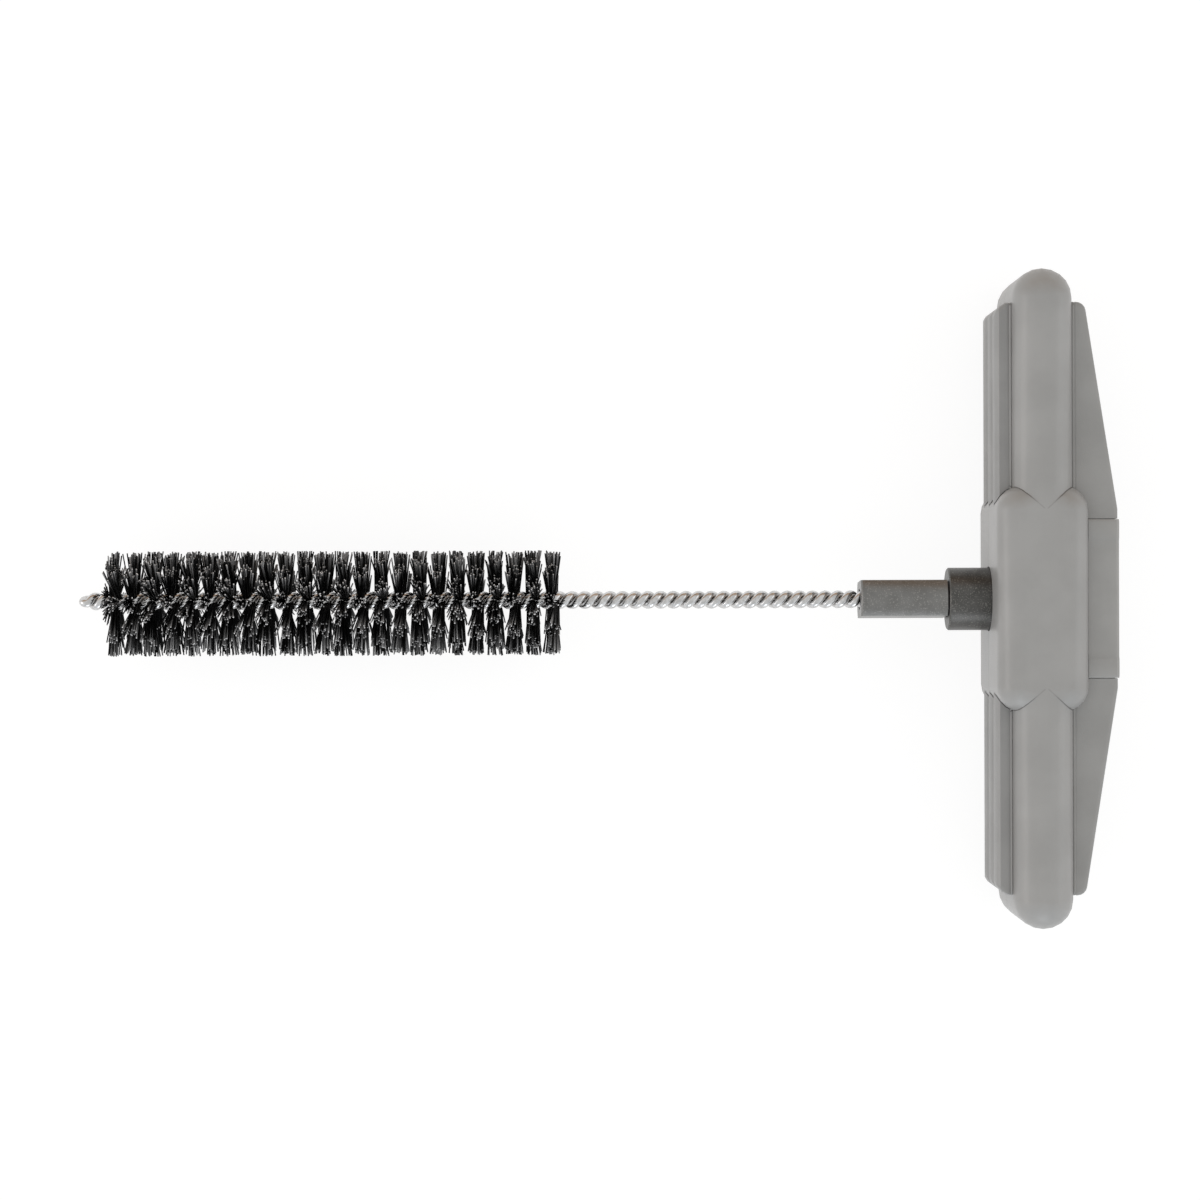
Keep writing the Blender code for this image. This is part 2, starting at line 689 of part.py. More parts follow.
def wire_gap(first, second):
    """The least gap between the two strands, measured on points along both centre lines."""
    shares = np.linspace(0, 1, STATIONS_PER_TURN // WIRE_POINTS_PER_TURN, endpoint=False)[:, None, None]
    dense = [(line[:-1] + (line[1:] - line[:-1]) * shares).reshape(-1, 3) for line in (first, second)]
    least = min(float(np.linalg.norm(dense[1] - point, axis=1).min()) for point in dense[0][::4])
    return least - 2 * WIRE_RADIUS


def make_wire(name, axis, material):
    """The stem: one wire from the socket to its tip, folded there, and back round itself."""
    out = strand_points(1)
    back = strand_points(-1)
    print(f"least gap between the strands: {wire_gap(out, back) / MM:.2f} mm")
    print(f"strands' direction at the fold: {math.degrees(twist_angle(FOLD_START)) % 180:.1f} degrees")
    points = np.concatenate([out, fold_points(), back[::-1]])
    curve = bpy.data.curves.new(name, "CURVE")
    curve.dimensions = "3D"
    curve.bevel_depth = WIRE_RADIUS
    curve.bevel_resolution = 1
    curve.use_fill_caps = True
    spline = curve.splines.new("POLY")
    spline.points.add(len(points) - 1)
    for point, place in zip(spline.points, points):
        point.co = (*place, 1)
    wire = bpy.data.objects.new(name, curve)
    link_part(wire, axis, material)
    return wire


def spread(number, step):
    """A value from -1 to 1 that looks irregular from one number to the next and is the same each time."""
    return 2 * math.modf(number * step)[0] - 1


def between_strands(x, along, off):
    """A point at X, so far out between the strands and so far off to that line's side."""
    angle = float(twist_angle(x)) + math.radians(90)
    outwards = Vector((0, math.cos(angle), math.sin(angle)))
    aside = Vector((0, -math.sin(angle), math.cos(angle)))
    return Vector((x, 0, 0)) + outwards * along + aside * off


def comb_stations():
    """Places along the comb as (X, half width, bunch centre where a pair of bristles starts, else None)."""
    slot = BUNCH_PITCH / SLOTS_PER_BUNCH
    bare_slots = (SLOTS_PER_BUNCH - BRISTLES_PER_BUNCH_SIDE) / 2
    lead_angle = math.atan(math.tau * STRAND_OFFSET / WIRE_LEAD)
    root = WIRE_RADIUS / math.cos(lead_angle) + ROOT_MARGIN
    stations = []
    for bunch in range(BUNCH_COUNT):
        centre = BRISTLES_START - (bunch + 1 / 2) * BUNCH_PITCH
        for number in range(SLOTS_PER_BUNCH):
            middle = centre + BUNCH_PITCH / 2 - (number + 1 / 2) * slot
            half = slot * BRISTLE_ROOT_SHARE / 2
            if bare_slots <= number < SLOTS_PER_BUNCH - bare_slots:
                stations += [(middle + half, root, centre), (middle - half, root, None)]
            else:
                stations.append((middle, NECK_REACH, None))
    return stations


def add_bristle(mesh, root, side, middle, centre, number):
    """One bristle of four sides, from a quad on the comb's edge to its tip within its own bunch."""
    half = BRISTLE_THICKNESS / 2
    trim = BRISTLE_TRIM * (spread(number, GOLDEN_SHARE * GOLDEN_SHARE) - 1) / 2
    reach = side * (BRISTLE_REACH + trim)
    tip_place = centre + (BUNCH_HALF_WIDTH - half) * spread(number, GOLDEN_SHARE)
    tip = []
    for forward, aside in ((half, -half), (half, half), (-half, half), (-half, -half)):
        point = between_strands(middle, reach, side * aside)
        point.x = tip_place + forward
        tip.append(mesh.verts.new(point))
    for low, high in ((0, 1), (1, 2), (2, 3), (3, 0)):
        mesh.faces.new((root[low], root[high], tip[high], tip[low]))
    mesh.faces.new(tip)


def make_bristles(name, axis, material):
    """The bristle fill: a thin twisted comb between the strands, with bristles on both edges."""
    mesh = bmesh.new()
    half = BRISTLE_THICKNESS / 2
    stations = comb_stations()
    rings = []
    for x, reach, _ in stations:
        corners = ((-reach, half), (-reach, -half), (reach, -half), (reach, half))
        rings.append([mesh.verts.new(between_strands(x, along, off)) for along, off in corners])
    mesh.faces.new(rings[0])
    mesh.faces.new(rings[-1][::-1])
    number = 0
    for near, far, station, following in zip(rings, rings[1:], stations, stations[1:]):
        mesh.faces.new((near[1], near[2], far[2], far[1]))
        mesh.faces.new((near[3], near[0], far[0], far[3]))
        low_edge = (near[0], near[1], far[1], far[0])
        high_edge = (near[2], near[3], far[3], far[2])
        for side, root in ((-1, low_edge), (1, high_edge)):
            if station[2] is None:
                mesh.faces.new(root)
                continue
            add_bristle(mesh, root, side, (station[0] + following[0]) / 2, station[2], number)
            number += 1
    return link_part(object_from(name, mesh), axis, material)


def main():
    clear_scene()
    set_up_collections()
    grey_plastic = make_material("grey_plastic", (0.30, 0.30, 0.29), 0.5, 0.0)
    dark_grip = make_material("dark_grey_plastic", (0.24, 0.24, 0.23), 0.55, 0.0)
    brass = make_material("brass", (0.70, 0.52, 0.25), 0.35, 1.0)
    dark_steel = make_material("dark_steel", (0.10, 0.10, 0.10), 0.45, 1.0)
    bright_steel = make_material("galvanised_wire", (0.75, 0.75, 0.75), 0.25, 1.0)
    black_nylon = make_material("black_nylon", (0.01, 0.01, 0.012), 0.4, 0.0)
    axis = bpy.data.objects.new("stem_axis", None)
    PARTS.objects.link(axis)
    axis.location = (0, 0, HUB_DEPTH / 2)
    make_half_shell("handle_front_shell", 1, axis, grey_plastic)
    make_half_shell("handle_back_shell", -1, axis, grey_plastic)
    make_finger_pad("finger_pad_upper", 1, axis, dark_grip)
    make_finger_pad("finger_pad_lower", -1, axis, dark_grip)
    make_palm_rest("palm_rest", axis, dark_grip)
    make_palm_clip("palm_clip", axis, dark_grip)
    make_insert("threaded_insert", axis, brass)
    make_collar("collar", axis, dark_steel)
    make_socket("wire_socket", axis, dark_steel)
    make_wire("wire_stem", axis, bright_steel)
    make_bristles("bristle_fill", axis, black_nylon)
    bpy.context.view_layer.update()


main()
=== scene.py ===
"""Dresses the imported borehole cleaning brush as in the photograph.

The CAD pieces get their plastics and steels. The fine wire, the fill, the stud's thread and the
rims in the grips' seams are pieces of their own.
"""

import logging
import math
from dataclasses import dataclass, field
from enum import Enum

import bpy
import numpy as np
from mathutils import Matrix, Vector


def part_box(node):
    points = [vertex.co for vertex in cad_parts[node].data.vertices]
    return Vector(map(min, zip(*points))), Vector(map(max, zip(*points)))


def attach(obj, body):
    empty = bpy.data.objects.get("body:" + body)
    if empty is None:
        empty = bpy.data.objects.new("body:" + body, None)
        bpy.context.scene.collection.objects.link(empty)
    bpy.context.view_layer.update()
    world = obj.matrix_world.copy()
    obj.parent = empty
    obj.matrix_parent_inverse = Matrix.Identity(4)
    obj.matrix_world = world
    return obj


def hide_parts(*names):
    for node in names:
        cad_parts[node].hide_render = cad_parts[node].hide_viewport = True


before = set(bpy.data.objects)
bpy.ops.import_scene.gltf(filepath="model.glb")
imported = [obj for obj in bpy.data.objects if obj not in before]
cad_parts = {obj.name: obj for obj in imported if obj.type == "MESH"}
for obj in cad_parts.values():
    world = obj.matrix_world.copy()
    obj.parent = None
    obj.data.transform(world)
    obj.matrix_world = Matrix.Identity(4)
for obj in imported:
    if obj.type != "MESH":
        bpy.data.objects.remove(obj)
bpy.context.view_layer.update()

LOG = logging.getLogger("brush_scene")
MM = 0.001
MID_DEPTH = 14.45 * MM
SAME_PLACE = 0.002 * MM
ROUND_UP_TO = math.radians(40)
Colour = tuple[float, float, float]
Point = tuple[float, float, float]
Range = tuple[float, float]
Socket = bpy.types.NodeSocket
Filaments = tuple[np.ndarray, np.ndarray, np.ndarray]


class Body(Enum):
    """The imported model's bodies that pieces ride on."""

    HANDLE = "handle"
    COLLAR = "collar"
    BRUSH = "brush"


class Slot(Enum):
    """Names of material slots for new pieces; no piece is given one here."""

    WIRE = "wire_steel"
    NYLON = "bristle_nylon"
    STEEL = "dark_steel"
    SHELL = "handle_plastic"
    PALM = "grip_plastic"


class Grain(Enum):
    """Which way a surface's fine marks run, as a stretch of the pattern along X, Y and Z."""

    EVEN = (1.0, 1.0, 1.0)
    ROUND_THE_STEM = (1.0, 0.06, 0.06)


class NodeTree:
    """The nodes of one material or of the world, with short ways to add and join them."""

    def __init__(self, tree: bpy.types.NodeTree) -> None:
        """Empties the tree.

        Args:
            tree: The node tree to fill.
        """
        self.nodes = tree.nodes
        self.links = tree.links
        self.nodes.clear()

    def add(self, kind: str, **settings: object) -> bpy.types.Node:
        """Adds a node.

        Args:
            kind: The node's type without its ShaderNode prefix.
            settings: Properties of the node to set.

        Returns:
            The new node.
        """
        node = self.nodes.new("ShaderNode" + kind)
        for name, value in settings.items():
            setattr(node, name, value)
        return node

    def join(self, value: object, socket: Socket) -> None:
        """Joins another node's socket to an input, or sets the input to a plain value.

        Args:
            value: The other node's socket, or the value.
            socket: The input.
        """
        if isinstance(value, Socket):
            self.links.new(value, socket)
        else:
            socket.default_value = value

    def feed(self, node: bpy.types.Node, **inputs: object) -> bpy.types.Node:
        """Sets or joins a node's inputs, named with underscores for spaces.

        Args:
            node: The node.
            inputs: A socket to join or a value to set, for each input.

        Returns:
            The same node.
        """
        for name, value in inputs.items():
            self.join(value, node.inputs[name.replace("_", " ")])
        return node

    def maths(self, operation: str, first: Socket | float, second: Socket | float) -> Socket:
        """Adds a maths node.

        Args:
            operation: What it does with its two numbers.
            first: A socket or number.
            second: A socket or number.

        Returns:
            The result's socket.
        """
        node = self.add("Math", operation=operation)
        self.join(first, node.inputs[0])
        self.join(second, node.inputs[1])
        return node.outputs[0]

    def vector(self, operation: str, first: Socket, second: Socket | Point | None = None) -> Socket:
        """Adds a maths node for vectors.

        Args:
            operation: What it does with its vectors.
            first: The first one's socket.
            second: The second one or its socket, where there is one.

        Returns:
            The socket of the vector that it gives, or of the length where it measures one.
        """
        node = self.add("VectorMath", operation=operation)
        self.join(first, node.inputs[0])
        if second is not None:
            self.join(second, node.inputs[1])
        return node.outputs["Value" if operation == "LENGTH" else "Vector"]

    def noise(self, vector: Socket, size: float, detail: float) -> Socket:
        """Gives the value of a cloudy noise with blotches of a size in metres and finer layers."""
        node = self.feed(self.add("TexNoise"), Vector=vector, Scale=1.0 / size, Detail=detail)
        return node.outputs["Fac"]

    def rescale(self, value: Socket, source: Range, target: Range) -> Socket:
        """Maps one range of numbers to another and clamps it.

        Args:
            value: The number's socket.
            source: The range it has.
            target: The range it gets.

        Returns:
            The socket of the mapped number.
        """
        node = self.add("MapRange", interpolation_type="SMOOTHSTEP")
        self.feed(node, Value=value, From_Min=source[0], From_Max=source[1])
        self.feed(node, To_Min=target[0], To_Max=target[1])
        return node.outputs["Result"]

    def blend(self, share: Socket, first: Socket | Colour, second: Socket | Colour) -> Socket:
        """Mixes two colours.

        Args:
            share: How much of the second there is.
            first: A colour or its socket.
            second: A colour or its socket.

        Returns:
            The mixed colour's socket.
        """
        node = self.add("Mix", data_type="RGBA")
        colours = [socket for socket in node.inputs if socket.type == "RGBA"]
        self.join(share, node.inputs[0])
        for socket, colour in zip(colours, (first, second)):
            self.join(colour if isinstance(colour, Socket) else (*colour, 1.0), socket)
        return next(socket for socket in node.outputs if socket.type == "RGBA")


@dataclass(frozen=True)
class Finish:
    """A surface of one stuff: two close colours, a range of roughness and a fine grain.

    Attributes:
        name: The material's name.
        dark: The colour of its darker patches.
        light: The colour of its lighter patches.
        roughness: The least and most roughness.
        patch_size: How wide the colour's patches are, in metres.
        grain_size: How wide the grains are, in metres.
        grain_depth: How deep the grains are, in metres.
        grain: Which way the grains run.
        metallic: 1 for a metal, 0 for a plastic.
        specular: How strongly a plastic reflects.
        fleck: The colour of the few fine flecks.
        fleck_share: How strong the flecks are.
        round_up_to: The most that facets of one round surface turn from each to the next.
        spread: The part of a noise's values that a colour or roughness is spread over.
        fleck_spread: The part of the grain's values over which the flecks rise.
        patch_detail: How many finer layers the patches have.
        grain_detail: How many finer layers the grains have.
    """

    name: str
    dark: Colour
    light: Colour
    roughness: Range
    patch_size: float
    grain_size: float
    grain_depth: float
    grain: Grain = Grain.EVEN
    metallic: float = 0.0
    specular: float = 0.5
    fleck: Colour = (0.4, 0.36, 0.33)
    fleck_share: float = 0.15
    round_up_to: float = math.radians(35)
    spread: Range = (0.3, 0.7)
    fleck_spread: Range = (0.54, 0.68)
    patch_detail: float = 4.0
    grain_detail: float = 3.0

    def material(self) -> bpy.types.Material:
        """Makes the material.

        Returns:
            A material with its own nodes for colour, roughness and bump.
        """
        material = bpy.data.materials.new(self.name)
        material.use_nodes = True
        tree = NodeTree(material.node_tree)
        place = self.coordinates(tree)
        patches = tree.noise(place, self.patch_size, self.patch_detail)
        grains = tree.noise(place, self.grain_size, self.grain_detail)
        colour = tree.blend(tree.rescale(patches, self.spread, (0.0, 1.0)), self.dark, self.light)
        flecks = tree.rescale(grains, self.fleck_spread, (0.0, self.fleck_share))
        colour = self.tone(tree, tree.blend(flecks, colour, self.fleck))
        shader = tree.feed(tree.add("BsdfPrincipled"), Base_Color=colour, Metallic=self.metallic)
        shader.inputs["Specular IOR Level"].default_value = self.specular
        tree.feed(shader, Roughness=tree.rescale(grains, self.spread, self.roughness))
        bump = tree.feed(tree.add("Bump"), Height=grains, Distance=self.grain_depth, Strength=1.0)
        tree.feed(shader, Normal=bump.outputs["Normal"])
        out = tree.add("OutputMaterial")
        tree.links.new(shader.outputs[0], out.inputs["Surface"])
        return material

    def coordinates(self, tree: NodeTree) -> Socket:
        """Reads the object's own coordinates, stretched along the grain.

        Args:
            tree: The material's nodes.

        Returns:
            The socket of the coordinates.
        """
        where = tree.add("TexCoord").outputs["Object"]
        mapping = tree.feed(tree.add("Mapping"), Vector=where, Scale=self.grain.value)
        return mapping.outputs["Vector"]

    def tone(self, tree: NodeTree, colour: Socket) -> Socket:
        """Leaves the colour as it is. Finishes with marks of their own change it."""
        return colour


@dataclass(frozen=True)
class StrandFinish(Finish):
    """A finish whose tone also changes from strand to strand, by the mesh's tone attribute.

    Attributes:
        high_tone: The colour that the highest tones tend to.
        high_tone_share: How strong that is.
        high_tone_from: The tone at which it starts.
    """

    high_tone: Colour = (0.1, 0.1, 0.1)
    high_tone_share: float = 0.5
    high_tone_from: float = 0.2

    def tone(self, tree: NodeTree, colour: Socket) -> Socket:
        """Blends the colour towards the high tone's colour where the tone is high; on the nylon
        this is painted light.

        Args:
            tree: The material's nodes.
            colour: The colour so far.

        Returns:
            The socket of the colour with the strands' tones.
        """
        tones = tree.add("Attribute", attribute_name="tone").outputs["Fac"]
        share = tree.rescale(tones, (self.high_tone_from, 1.0), (0.0, self.high_tone_share))
        return tree.blend(share, colour, self.high_tone)


@dataclass(frozen=True)
class RoundedBlock:
    """A block with every edge rounded, as the handle's spine and hub are.

    Attributes:
        centre: Its middle.
        size: Its whole size along X, Y and Z.
        radius: The radius of its edges.
    """

    centre: Point
    size: Point
    radius: float

    def measure(self, tree: NodeTree, place: Socket) -> list[Socket]:
        """Measures how far a place is from the block's surface.

        Args:
            tree: The material's nodes.
            place: The coordinates' socket.

        Returns:
            The sockets of the distance, less than 0 inside, and of the way that the surface
            there faces, without its signs.
        """
        core = tuple(size / 2 - self.radius for size in self.size)
        away = tree.vector("ABSOLUTE", tree.vector("SUBTRACT", place, self.centre))
        past = tree.vector("MAXIMUM", tree.vector("SUBTRACT", away, core), (0.0, 0.0, 0.0))
        distance = tree.maths("SUBTRACT", tree.vector("LENGTH", past), self.radius)
        return [distance, tree.vector("NORMALIZE", past)]


@dataclass(frozen=True)
class CreaseShadeFinish(Finish):
    """A finish with a thin line of painted shade along the crease where two rounded blocks of one
    moulding meet.

    Attributes:
        blocks: The two blocks.
        crease_shade: The colour of the painted shade in the crease.
        crease_shade_width: Half the width of the painted shade's line.
        crease_shade_core: The share of that over which the painted shade is at its darkest.
        least_bend: The least difference between the two blocks' ways that is reckoned with.
        shallow: How strong the painted shade gets where both blocks tilt a little, and at which
            tilts.
        steep: How much stronger it gets where both tilt a lot, and at which tilts.
    """

    blocks: tuple[RoundedBlock, ...] = ()
    # Painted shade: the dark colour laid along the crease between the two blocks.
    crease_shade: Colour = (0.075, 0.07, 0.065)
    crease_shade_width: float = 0.13 * MM
    crease_shade_core: float = 0.45
    least_bend: float = 0.01
    shallow: tuple[float, Range] = (0.22, (0.02, 0.07))
    steep: tuple[float, Range] = (0.5, (0.25, 0.6))

    def tone(self, tree: NodeTree, colour: Socket) -> Socket:
        """Paints shade into the crease.

        Args:
            tree: The material's nodes.
            colour: The colour so far.

        Returns:
            The socket of the colour with the painted shade in the crease.
        """
        place = tree.add("TexCoord").outputs["Object"]
        distances, ways = zip(*(block.measure(tree, place) for block in self.blocks))
        apart = tree.maths("ABSOLUTE", tree.maths("SUBTRACT", *distances), 0.0)
        bend = tree.vector("LENGTH", tree.vector("SUBTRACT", *ways))
        reach = tree.maths("DIVIDE", apart, tree.maths("MAXIMUM", bend, self.least_bend))
        core = self.crease_shade_width * self.crease_shade_core
        # A line of painted shade along the crease, stronger where both blocks tilt more.
        line = tree.rescale(reach, (core, self.crease_shade_width), (1.0, 0.0))
        level_ways = [tree.vector("MULTIPLY", way, (1.0, 1.0, 0.0)) for way in ways]
        tilt = tree.maths("MINIMUM", *(tree.vector("LENGTH", way) for way in level_ways))
        parts = [tree.rescale(tilt, at, (0.0, most)) for most, at in (self.shallow, self.steep)]
        share = tree.maths("MULTIPLY", line, tree.maths("ADD", *parts))
        return tree.blend(share, colour, self.crease_shade)


SPINE = RoundedBlock(
    centre=(0.0, 0.0, MID_DEPTH), size=(9.9 * MM, 109 * MM, 28.9 * MM), radius=4.95 * MM
)
HUB = RoundedBlock(
    centre=(-0.15 * MM, 0.0, MID_DEPTH), size=(15.1 * MM, 37.1 * MM, 28.9 * MM), radius=4 * MM
)


class Finishes:
    """Every finish on the brush."""

    # The shell carries painted shade along the crease between spine and hub.
    SHELL = CreaseShadeFinish(
        "satin_grey_plastic", (0.312, 0.312, 0.307), (0.347, 0.347, 0.342), (0.3, 0.42),
        patch_size=9 * MM, grain_size=0.16 * MM, grain_depth=0.012 * MM, blocks=(SPINE, HUB),
    )
    PAD = Finish(
        "grip_pad_plastic", (0.265, 0.265, 0.262), (0.3, 0.3, 0.297), (0.34, 0.48),
        patch_size=7 * MM, grain_size=0.16 * MM, grain_depth=0.014 * MM,
    )
    PALM = Finish(
        "palm_rest_plastic", (0.292, 0.292, 0.286), (0.328, 0.328, 0.322), (0.5, 0.65),
        patch_size=8 * MM, grain_size=0.2 * MM, grain_depth=0.016 * MM,
    )
    CLIP = Finish(
        "clip_plastic", (0.325, 0.325, 0.318), (0.357, 0.357, 0.35), (0.45, 0.6),
        patch_size=6 * MM, grain_size=0.18 * MM, grain_depth=0.014 * MM,
    )
    BRASS = Finish(
        "turned_brass", (0.62, 0.42, 0.17), (0.75, 0.55, 0.26), (0.25, 0.4),
        patch_size=3 * MM, grain_size=0.1 * MM, grain_depth=0.01 * MM,
        grain=Grain.ROUND_THE_STEM, metallic=1.0,
    )
    COLLAR = Finish(
        "blackened_collar_steel", (0.083, 0.082, 0.078), (0.113, 0.111, 0.107), (0.34, 0.46),
        patch_size=2.5 * MM, grain_size=0.24 * MM, grain_depth=0.02 * MM,
        metallic=1.0, fleck=(0.24, 0.235, 0.22), fleck_share=0.8,
    )
    SOCKET = Finish(
        "milled_socket_steel", (0.176, 0.175, 0.169), (0.212, 0.211, 0.205), (0.3, 0.42),
        patch_size=2.5 * MM, grain_size=0.24 * MM, grain_depth=0.014 * MM,
        metallic=1.0, fleck=(0.4, 0.39, 0.37), fleck_share=0.5, round_up_to=math.radians(20),
    )
    THREAD = Finish(
        "rolled_thread_steel", (0.3, 0.3, 0.3), (0.42, 0.42, 0.42), (0.25, 0.4),
        patch_size=1 * MM, grain_size=0.08 * MM, grain_depth=0.008 * MM,
        grain=Grain.ROUND_THE_STEM, metallic=1.0,
    )
    WIRE = StrandFinish(
        "bright_drawn_wire", (0.5, 0.5, 0.5), (0.68, 0.68, 0.68), (0.1, 0.22),
        patch_size=0.6 * MM, grain_size=0.09 * MM, grain_depth=0.008 * MM,
        metallic=1.0, high_tone=(0.6, 0.52, 0.46), high_tone_share=0.3,
    )
    # Greying the filaments towards their outer ends is painted light there, against painted shade
    # deep in the fill at their roots; how grey each one gets is random.
    NYLON = StrandFinish(
        "black_nylon_filament", (0.003, 0.003, 0.0031), (0.009, 0.009, 0.0093), (0.34, 0.5),
        patch_size=1.2 * MM, grain_size=0.1 * MM, grain_depth=0.006 * MM,
        specular=0.08, fleck=(0.03, 0.029, 0.028),
        high_tone=(0.45, 0.45, 0.456), high_tone_share=0.9, high_tone_from=0.46,
    )
    CUT_END = StrandFinish(
        "cut_filament_end", (0.1, 0.1, 0.101), (0.26, 0.26, 0.263), (0.5, 0.7),
        patch_size=0.5 * MM, grain_size=0.05 * MM, grain_depth=0.004 * MM,
        high_tone=(0.85, 0.85, 0.85), high_tone_share=0.8, high_tone_from=0.45,
    )


def mesh_piece(
    name: str,
    points: np.ndarray,
    faces: list[list[int]],
    body: Body,
    round_up_to: float = ROUND_UP_TO,
) -> bpy.types.Object:
    """Makes a mesh object that rides on a body.

    Args:
        name: The piece's name.
        points: Its vertices in the row frame, in metres.
        faces: Its faces as lists of vertex numbers.
        body: The body that it rides on.
        round_up_to: The sharpest edge that is shaded as round.

    Returns:
        The new object.
    """
    mesh = bpy.data.meshes.new(name)
    mesh.from_pydata(points.tolist(), [], faces)
    mesh.validate()
    mesh.shade_smooth()
    mesh.set_sharp_from_angle(angle=round_up_to)
    piece = bpy.data.objects.new(name, mesh)
    bpy.context.scene.collection.objects.link(piece)
    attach(piece, body.value)
    return piece


def add_tones(piece: bpy.types.Object, tones: np.ndarray) -> None:
    """Stores a tone for each vertex, which a strand's finish reads.

    Args:
        piece: The object.
        tones: A number from 0 to 1 for each of its vertices.
    """
    layer = piece.data.attributes.new("tone", "FLOAT", "POINT")
    layer.data.foreach_set("value", tones.astype(np.float32))


def tube_faces(rings: int, sides: int, first: int = 0) -> list[list[int]]:
    """Numbers the faces of a capped tube whose vertices come ring by ring.

    Args:
        rings: How many rings of vertices it has.
        sides: How many vertices a ring has.
        first: The number of its first vertex.

    Returns:
        The side faces, then the start's cap and the end's cap.
    """
    faces = []
    for ring in range(rings - 1):
        low = first + ring * sides
        for side in range(sides):
            after = (side + 1) % sides
            faces.append([low + side, low + after, low + sides + after, low + sides + side])
    faces.append([first + side for side in reversed(range(sides))])
    faces.append([first + (rings - 1) * sides + side for side in range(sides)])
    return faces


def sweep(line: np.ndarray, radius: np.ndarray, sides: int) -> np.ndarray:
    """Runs a round section along a line without twisting it.

    Args:
        line: The points of the line.
        radius: The section's radius at each point.
        sides: How many vertices the section has.

    Returns:
        The vertices, ring by ring.
    """
    aslant = (0.3, 0.5, 0.8)
    ways = np.gradient(line, axis=0)
    ways /= np.linalg.norm(ways, axis=1, keepdims=True)
    across = np.cross(ways[0], aslant)
    turns = np.linspace(0, math.tau, sides, endpoint=False)
    rings = []
    for point, way, size in zip(line, ways, radius):
        across = across - way * across.dot(way)
        across /= np.linalg.norm(across)
        up = np.cross(way, across)
        section = np.outer(np.cos(turns), across) + np.outer(np.sin(turns), up)
        rings.append(point + size * section)
    return np.concatenate(rings)


@dataclass
class HandleGroup:
    """The T handle: the two shells, the finger pads, the palm rest with its clip and the insert.

    Attributes:
        pad_rim: The radius of the shells' fine rim round each finger pad, and its place along X.
        palm_rim: The same for the palm rest's own lip against the spine.
        rim_start: Where along Y a rim leaves the hub.
        rim_end: Where along Y it turns round the grip piece's end.
        rim_top: How far a rim's outside is from the mid-depth plane.
        rim_corner: The radius of its two corners.
        rim_steps: How many stretches it has beside the grip piece.
        corner_steps: How many stretches a corner has.
        rim_sides: How many sides a rim has.
        finishes: The finish of each CAD piece by name.
    """

    pad_rim: tuple[float, float] = (0.24 * MM, -5.15 * MM)
    palm_rim: tuple[float, float] = (0.36 * MM, 5.2 * MM)
    rim_start: float = 17.6 * MM
    rim_end: float = 48.7 * MM
    rim_top: float = 9.42 * MM
    rim_corner: float = 0.6 * MM
    rim_steps: int = 29
    corner_steps: int = 6
    rim_sides: int = 12
    finishes: dict[str, Finish] = field(default_factory=lambda: {
        "handle_front_shell": Finishes.SHELL,
        "handle_back_shell": Finishes.SHELL,
        "finger_pad_upper": Finishes.PAD,
        "finger_pad_lower": Finishes.PAD,
        "palm_rest": Finishes.PALM,
        "palm_clip": Finishes.CLIP,
        "threaded_insert": Finishes.BRASS,
    })

    def dress(self) -> None:
        """Gives each CAD piece of the handle its finish."""
        dress_nodes(self.finishes)

    def rim_line(self, place: float, half_depth: float, upper: float) -> np.ndarray:
        """Follows the seam between the spine and one grip piece, round its end and back.

        Args:
            place: Where the seam is along X.
            half_depth: How far it is from the mid-depth plane.
            upper: 1 for the upper wing and -1 for the lower.

        Returns:
            The points of the rim's middle line.
        """
        turns = np.linspace(0, math.pi / 2, self.corner_steps + 1)
        length = self.rim_end - self.rim_corner
        straight = np.linspace(self.rim_start, length, self.rim_steps + 1)[:-1]
        along = np.concatenate([straight, length + self.rim_corner * np.sin(turns)])
        drop = np.concatenate([np.zeros(len(straight)), self.rim_corner * (1 - np.cos(turns))])
        up = half_depth - drop
        ys = np.concatenate([along, along[::-1]]) * upper
        zs = np.concatenate([up, -up[::-1]]) + MID_DEPTH
        return np.column_stack([np.full(len(ys), place), ys, zs])

    def build_rims(self) -> list[bpy.types.Object]:
        """Lays a fine rim into the seam between the spine and each wing of the grip pieces.

        Returns:
            The four rims, which ride on the handle.
        """
        kinds = (
            ("pad", self.pad_rim, Finishes.SHELL, Slot.SHELL),
            ("palm", self.palm_rim, Finishes.PALM, Slot.PALM),
        )
        rims = []
        for grip, (radius, place), finish, slot in kinds:
            material = finish.material()
            for wing, upper in (("upper", 1.0), ("lower", -1.0)):
                line = self.rim_line(place, self.rim_top - radius, upper)
                points = sweep(line, np.full(len(line), radius), self.rim_sides)
                faces = tube_faces(len(line), self.rim_sides)
                rim = mesh_piece(f"{grip}_rim_{wing}", points, faces, Body.HANDLE)
                rim.data.materials.append(material)
                rims.append(rim)
        return rims


